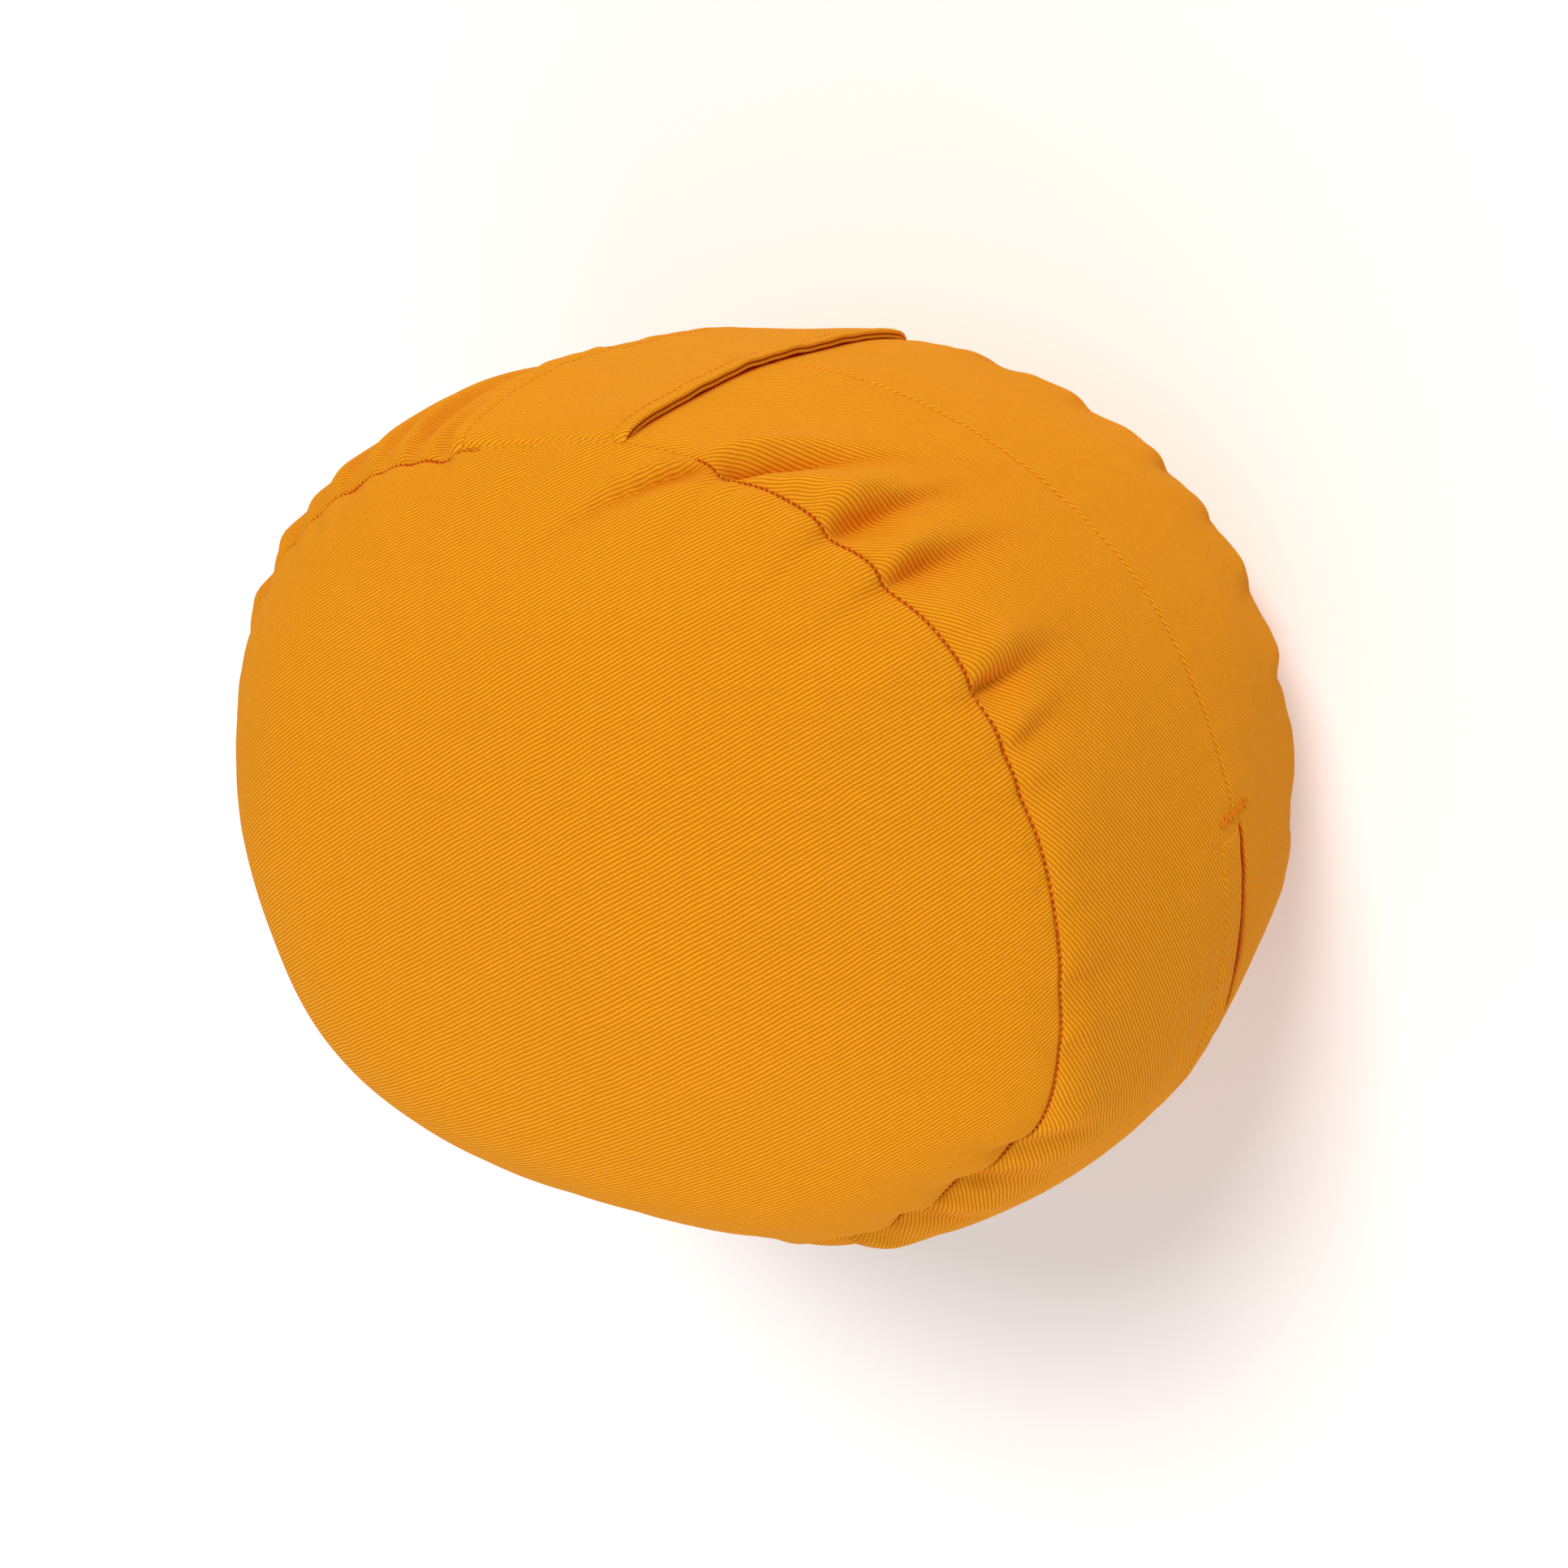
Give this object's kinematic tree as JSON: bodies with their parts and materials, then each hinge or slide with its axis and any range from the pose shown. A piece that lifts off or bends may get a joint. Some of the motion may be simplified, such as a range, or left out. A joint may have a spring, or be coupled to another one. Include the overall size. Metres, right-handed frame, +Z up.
{
  "type": "yoga cushion",
  "caption": "Round filled sitting cushion: two crowned panels, a gathered band between them, a doubled carrying strap across the band and a flap lapped over the zip.",
  "frame": {"origin": "on the surface the cushion lies on, under the middle of its bounding box", "axes": "+Z up out of the front panel, +Y towards the carrying handle, +X across the panel towards the start of the zip"},
  "size_m": [0.3468, 0.2946, 0.2519],
  "materials": {
    "cushion_cloth": "matt orange cotton twill",
    "handle_cloth": "matt orange cotton twill, doubled",
    "zip_flap_cloth": "matt orange cotton twill, folded edge"
  },
  "bodies": {
    "root": {"cushion": "cushion_cloth", "handle": "handle_cloth", "zip_flap": "zip_flap_cloth"}
  },
  "joints": []
}
